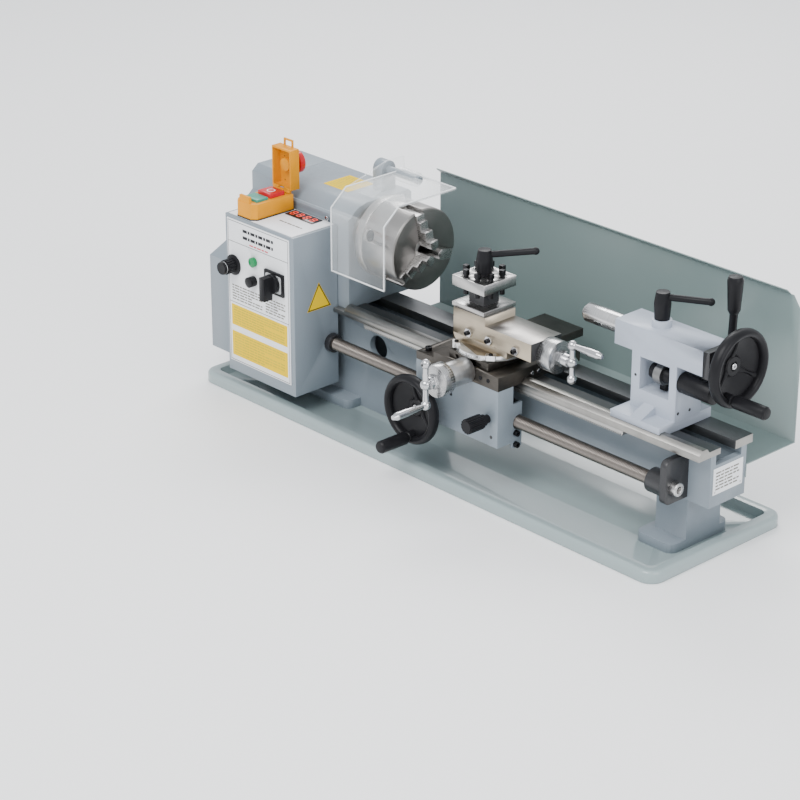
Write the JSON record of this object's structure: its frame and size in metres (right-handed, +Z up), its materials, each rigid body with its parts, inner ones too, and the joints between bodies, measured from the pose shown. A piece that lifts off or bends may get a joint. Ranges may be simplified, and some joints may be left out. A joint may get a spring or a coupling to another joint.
{
  "type": "bench metal lathe",
  "caption": "Small bench metal lathe with chip tray, belt and gear drive, three-jaw chuck, carriage with swivel top slide, four-way tool post, leadscrew and tailstock.",
  "frame": {"origin": "underside of the chip tray, under the spindle axis, at the middle of the tray's length", "axes": "+X from the headstock to the tailstock, +Y to the back, +Z up"},
  "size_m": [0.8245, 0.3095, 0.315],
  "materials": {
    "grey_paint": "satin",
    "tray_paint": "gloss",
    "splash_paint": "satin",
    "light_paint": "satin",
    "steel": "ground",
    "dark_steel": "oiled",
    "chrome": "polished",
    "aluminium": "turned",
    "black": "satin",
    "white_panel": "printed",
    "fittings": "gloss",
    "orange": "gloss",
    "red": "gloss",
    "green": "gloss",
    "clear": "clear",
    "belt": "matte",
    "gear_steel": "oiled"
  },
  "bodies": {
    "frame": {"chip_tray": "tray_paint", "splash_guard": "splash_paint", "bed": "grey_paint", "feed_rack": "steel", "headstock": "grey_paint", "gear_cover": "grey_paint", "control_box": "grey_paint", "control_panel": "white_panel", "panel_fittings": "fittings", "switch_box": "orange", "spindle_bearings": "steel", "drive_motor": "black", "drive_belt": "belt", "leadscrew_brackets": "black", "fixed_screws": "chrome", "guard_bracket": "grey_paint", "gear_quadrant": "gear_steel"},
    "spindle_set": {"spindle": "steel", "spindle_wheels": "gear_steel", "chuck_body": "steel"},
    "scroll": {"chuck_scroll": "gear_steel"},
    "jaw_1": {"chuck_jaw_1": "steel"},
    "jaw_2": {"chuck_jaw_2": "steel"},
    "jaw_3": {"chuck_jaw_3": "steel"},
    "key_pinion": {"chuck_pinion": "dark_steel"},
    "motor_shaft": {"motor_pulley": "aluminium"},
    "idler": {"idler_gear": "gear_steel"},
    "lead_screw": {"leadscrew": "steel"},
    "carriage": {"saddle": "dark_steel", "apron": "grey_paint", "cross_feed_bracket": "aluminium", "carriage_screws": "black"},
    "handwheel": {"carriage_handwheel": "black"},
    "handwheel_grip": {"carriage_grip": "black"},
    "transfer_shaft": {"rack_pinion": "gear_steel"},
    "nut_lever": {"half_nut_lever": "black"},
    "nut_upper": {"half_nut_upper": "gear_steel"},
    "nut_lower": {"half_nut_lower": "gear_steel"},
    "cross_crank": {"cross_feed_crank": "chrome"},
    "cross": {"cross_slide": "dark_steel"},
    "swivel": {"compound_base": "steel"},
    "top_slide": {"compound_slide": "steel"},
    "top_crank": {"compound_crank": "chrome"},
    "post": {"tool_post": "steel", "tool_post_screws": "black"},
    "post_lever": {"tool_post_lever": "black"},
    "tailstock": {"tailstock_body": "light_paint", "tailstock_clamp": "gear_steel"},
    "quill_body": {"quill": "steel"},
    "tail_wheel": {"tailstock_handwheel": "black"},
    "tail_grip": {"tailstock_grip": "black"},
    "lock_lever": {"quill_lock_lever": "black"},
    "clamp_lever": {"cam_lever": "black"},
    "guard": {"chuck_guard": "clear"},
    "lid": {"switch_lid": "orange"},
    "emergency": {"emergency_button": "red"},
    "start": {"start_button": "green"},
    "stop": {"stop_button": "red"},
    "speed": {"speed_knob": "black"},
    "direction": {"direction_knob": "black"}
  },
  "joints": [
    {"name": "spindle_spin", "type": "hinge", "parent": "frame", "child": "spindle_set", "pos_m": [-0.275, 0, 0.2205], "axis": [1, 0, 0], "continuous": true},
    {"name": "motor_spin", "type": "hinge", "parent": "frame", "child": "motor_shaft", "pos_m": [-0.35, 0.024, 0.163], "axis": [1, 0, 0], "continuous": true},
    {"name": "idler_spin", "type": "hinge", "parent": "frame", "child": "idler", "pos_m": [-0.37, -0.01153, 0.15755], "axis": [1, 0, 0], "continuous": true},
    {"name": "leadscrew_spin", "type": "hinge", "parent": "frame", "child": "lead_screw", "pos_m": [-0.37, -0.05, 0.084], "axis": [1, 0, 0], "continuous": true},
    {"name": "scroll_turn", "type": "hinge", "parent": "spindle_set", "child": "scroll", "pos_m": [-0.128, 0, 0.2205], "axis": [1, 0, 0], "range_deg": [-240, 600]},
    {"name": "jaw_1_travel", "type": "slide", "parent": "spindle_set", "child": "jaw_1", "axis": [0, -0.1736, 0.9848], "range_m": [-0.0041, 0.0101]},
    {"name": "jaw_2_travel", "type": "slide", "parent": "spindle_set", "child": "jaw_2", "axis": [0, -0.766, -0.6428], "range_m": [-0.0041, 0.0101]},
    {"name": "jaw_3_travel", "type": "slide", "parent": "spindle_set", "child": "jaw_3", "axis": [0, 0.9397, -0.342], "range_m": [-0.0041, 0.0101]},
    {"name": "key_turn", "type": "hinge", "parent": "spindle_set", "child": "key_pinion", "pos_m": [-0.1385, -0.04511, 0.23692], "axis": [0, -0.9397, 0.342], "range_deg": [-725, 1805]},
    {"name": "carriage_travel", "type": "slide", "parent": "frame", "child": "carriage", "axis": [1, 0, 0], "range_m": [-0.09, 0.06]},
    {"name": "handwheel_turn", "type": "hinge", "parent": "carriage", "child": "handwheel", "pos_m": [-0.002, -0.107, 0.08], "axis": [0, 1, 0], "range_deg": [-745, 500]},
    {"name": "transfer_turn", "type": "hinge", "parent": "carriage", "child": "transfer_shaft", "pos_m": [0.01098, -0.06, 0.10925], "axis": [0, 1, 0], "range_deg": [-390, 580]},
    {"name": "handwheel_grip_turn", "type": "hinge", "parent": "handwheel", "child": "handwheel_grip", "pos_m": [-0.002, -0.13, 0.047], "axis": [0, 1, 0], "continuous": true},
    {"name": "half_nut_turn", "type": "hinge", "parent": "carriage", "child": "nut_lever", "pos_m": [0.096, -0.09, 0.093], "axis": [0, 1, 0], "range_deg": [0, 60.5]},
    {"name": "upper_nut_close", "type": "slide", "parent": "carriage", "child": "nut_upper", "axis": [0, 0, 1], "range_m": [-0.0076, 0]},
    {"name": "lower_nut_close", "type": "slide", "parent": "carriage", "child": "nut_lower", "axis": [0, 0, 1], "range_m": [0, 0.00765]},
    {"name": "cross_crank_turn", "type": "hinge", "parent": "carriage", "child": "cross_crank", "pos_m": [0.061, -0.146, 0.142], "axis": [0, 1, 0], "range_deg": [-1090, 11540]},
    {"name": "cross_slide_travel", "type": "slide", "parent": "carriage", "child": "cross", "axis": [0, 1, 0], "range_m": [-0.003, 0.032]},
    {"name": "compound_swivel", "type": "hinge", "parent": "cross", "child": "swivel", "pos_m": [0.061, -0.042, 0.16], "axis": [0, 0, 1], "range_deg": [-45, 45]},
    {"name": "compound_crank_turn", "type": "hinge", "parent": "top_slide", "child": "top_crank", "pos_m": [0.184, -0.042, 0.177], "axis": [1, 0, 0], "range_deg": [-4330, 10820]},
    {"name": "compound_travel", "type": "slide", "parent": "swivel", "child": "top_slide", "axis": [-1, 0, 0], "range_m": [-0.012, 0.03]},
    {"name": "tool_post_turn", "type": "hinge", "parent": "top_slide", "child": "post", "pos_m": [0.046, -0.042, 0.22], "axis": [0, 0, 1], "continuous": true},
    {"name": "tool_post_lever_turn", "type": "hinge", "parent": "top_slide", "child": "post_lever", "pos_m": [0.046, -0.042, 0.255], "axis": [0, 0, 1], "range_deg": [-60, 60]},
    {"name": "tailstock_travel", "type": "slide", "parent": "frame", "child": "tailstock", "axis": [1, 0, 0], "range_m": [-0.07, 0.045]},
    {"name": "tail_wheel_turn", "type": "hinge", "parent": "tailstock", "child": "tail_wheel", "pos_m": [0.381, 0, 0.2205], "axis": [1, 0, 0], "range_deg": [-1800, 9900]},
    {"name": "quill_travel", "type": "slide", "parent": "tailstock", "child": "quill_body", "axis": [1, 0, 0], "range_m": [-0.01001, 0.05501]},
    {"name": "tail_grip_turn", "type": "hinge", "parent": "tail_wheel", "child": "tail_grip", "pos_m": [0.41, -0.016, 0.1905], "axis": [1, 0, 0], "continuous": true},
    {"name": "quill_lock_turn", "type": "hinge", "parent": "tailstock", "child": "lock_lever", "pos_m": [0.274, 0, 0.255], "axis": [0, 0, 1], "range_deg": [-45, 45]},
    {"name": "tailstock_clamp_turn", "type": "hinge", "parent": "tailstock", "child": "clamp_lever", "pos_m": [0.338, -0.009, 0.186], "axis": [-1, 0, 0], "range_deg": [0, 35]},
    {"name": "guard_swing", "type": "hinge", "parent": "frame", "child": "guard", "pos_m": [-0.17, 0.04, 0.283], "axis": [-1, 0, 0], "range_deg": [0, 90]},
    {"name": "lid_swing", "type": "hinge", "parent": "frame", "child": "lid", "pos_m": [-0.296, -0.047, 0.2535], "axis": [1, 0, 0], "range_deg": [0, 90]},
    {"name": "emergency_press", "type": "slide", "parent": "lid", "child": "emergency", "axis": [0, -1, 0], "range_m": [0, 0.004], "stiffness_N_per_m": 300},
    {"name": "start_press", "type": "slide", "parent": "frame", "child": "start", "axis": [0, 0, -1], "range_m": [0, 0.003], "stiffness_N_per_m": 300},
    {"name": "stop_press", "type": "slide", "parent": "frame", "child": "stop", "axis": [0, 0, -1], "range_m": [0, 0.003], "stiffness_N_per_m": 300},
    {"name": "speed_turn", "type": "hinge", "parent": "frame", "child": "speed", "pos_m": [-0.314, -0.115, 0.1686], "axis": [0, -1, 0], "range_deg": [0, 300]},
    {"name": "direction_turn", "type": "hinge", "parent": "frame", "child": "direction", "pos_m": [-0.2375, -0.115, 0.167], "axis": [0, -1, 0], "range_deg": [-45, 45]}
  ],
  "couplings": [
    {"joint": "motor_spin", "follows": "spindle_spin", "ratio": 1.6111},
    {"joint": "idler_spin", "follows": "spindle_spin", "ratio": -0.33333},
    {"joint": "leadscrew_spin", "follows": "spindle_spin", "ratio": 0.45714},
    {"joint": "jaw_1_travel", "follows": "scroll_turn", "m_per_rad": 0.00095493},
    {"joint": "jaw_2_travel", "follows": "scroll_turn", "m_per_rad": 0.00095493},
    {"joint": "jaw_3_travel", "follows": "scroll_turn", "m_per_rad": 0.00095493},
    {"joint": "key_turn", "follows": "scroll_turn", "ratio": 3},
    {"joint": "handwheel_turn", "follows": "carriage_travel", "rad_per_m": 142.86},
    {"joint": "transfer_turn", "follows": "carriage_travel", "rad_per_m": -111.11},
    {"joint": "half_nut_turn", "follows": "upper_nut_close", "rad_per_m": -137.79},
    {"joint": "lower_nut_close", "follows": "upper_nut_close", "ratio": -1},
    {"joint": "cross_crank_turn", "follows": "cross_slide_travel", "rad_per_m": 6283.2},
    {"joint": "compound_crank_turn", "follows": "compound_travel", "rad_per_m": 6283.2},
    {"joint": "quill_travel", "follows": "tail_wheel_turn", "m_per_rad": 0.00031831}
  ]
}
